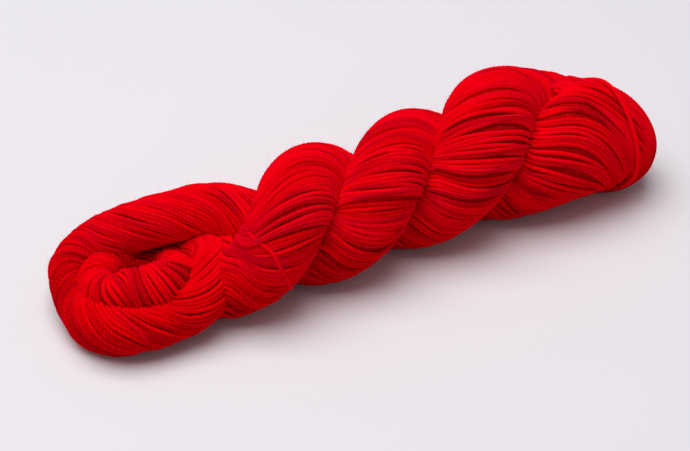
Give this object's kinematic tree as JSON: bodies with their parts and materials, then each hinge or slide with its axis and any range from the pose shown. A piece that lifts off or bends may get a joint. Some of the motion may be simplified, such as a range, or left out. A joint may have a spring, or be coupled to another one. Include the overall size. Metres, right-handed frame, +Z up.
{
  "type": "skein of cashmere yarn",
  "caption": "Twisted hank of soft plied red cashmere yarn lying flat, folded over and tied at one end, and opening into a ring with a tucked-in end at the other.",
  "frame": {"origin": "middle of the hank's outline, on the surface that it lies on", "axes": "+X along the hank from the ring to the folded end, +Y across it to the back, +Z up"},
  "size_m": [0.2203, 0.0663, 0.0523],
  "materials": {
    "yarn": "matte, with a soft halo of fine fibres"
  },
  "bodies": {
    "root": {"skein": "yarn", "tie_strand": "yarn"}
  },
  "joints": []
}
